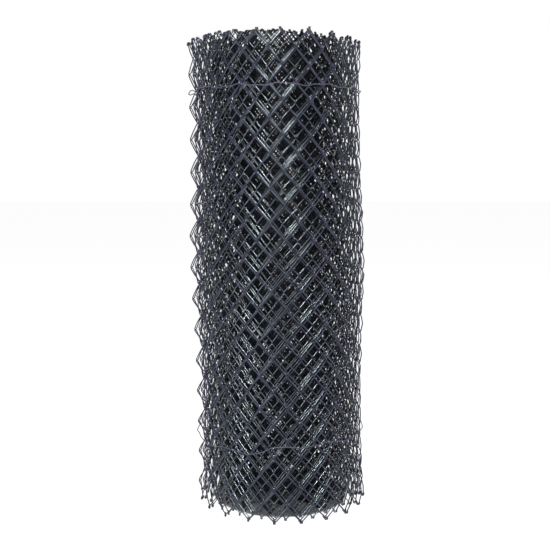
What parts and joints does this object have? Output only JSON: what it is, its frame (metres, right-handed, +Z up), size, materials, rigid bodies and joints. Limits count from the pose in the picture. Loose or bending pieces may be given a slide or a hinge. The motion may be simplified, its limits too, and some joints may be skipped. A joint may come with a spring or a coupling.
{
  "type": "chain link fence roll",
  "caption": "Upright roll of black vinyl-coated chain link fencing with a hollow core, knuckled diamond-mesh edges and thin tie wires holding it closed.",
  "frame": {"origin": "centre of the roll on the floor it stands on", "axes": "+Z up along the roll's core, -Y towards the viewer of the picture, +X to the viewer's right"},
  "size_m": [0.4736, 0.4736, 1.219],
  "materials": {
    "vinyl_wire": "smooth black vinyl coating with a soft gloss, a little blue, over galvanized steel wire",
    "vinyl_tie": "thin blue-black coated tie wire, slightly duller than the fabric"
  },
  "bodies": {
    "root": {"fabric_roll": "vinyl_wire", "tie_wire_lower": "vinyl_tie", "tie_wire_upper": "vinyl_tie"}
  },
  "joints": []
}
